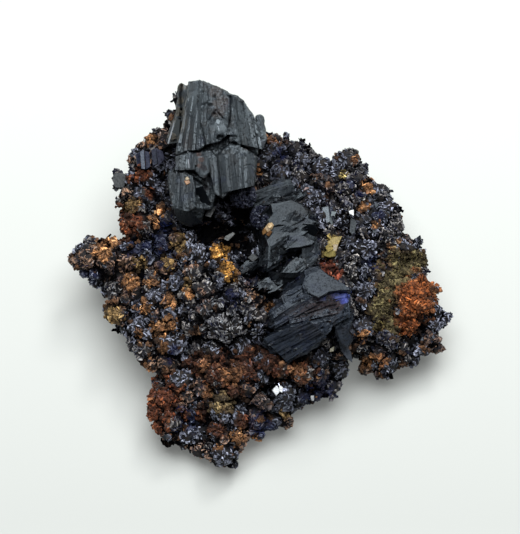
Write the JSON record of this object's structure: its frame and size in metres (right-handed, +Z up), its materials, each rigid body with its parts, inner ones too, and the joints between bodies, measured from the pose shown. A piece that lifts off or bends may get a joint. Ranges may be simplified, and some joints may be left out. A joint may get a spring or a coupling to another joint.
{
  "type": "azurite specimen",
  "caption": "Lumpy iron-stained rock with a crust of small dark blue crystals, a thick striated crystal trunk, a fan of flat blades and a ribbed sheaf, resting on a flat cut.",
  "frame": {"origin": "on the flat underside, under the middle of the specimen", "axes": "+Z up from the flat underside, +Y towards the trunk's end, +X towards the wing with the yellow-rimmed lump"},
  "size_m": [0.0535, 0.0536, 0.0284],
  "materials": {
    "matrix": "rough, iron-stained, crusted with small dark blue crystals",
    "trunk_crystal": "glassy, near-black blue, striated lengthwise",
    "fan_crystal": "glassy, near-black blue",
    "sheaf_crystal": "glassy, near-black blue, ribbed"
  },
  "bodies": {
    "root": {"matrix": "matrix", "trunk_crystal": "trunk_crystal", "fan_crystal": "fan_crystal", "sheaf_crystal": "sheaf_crystal"}
  },
  "joints": []
}
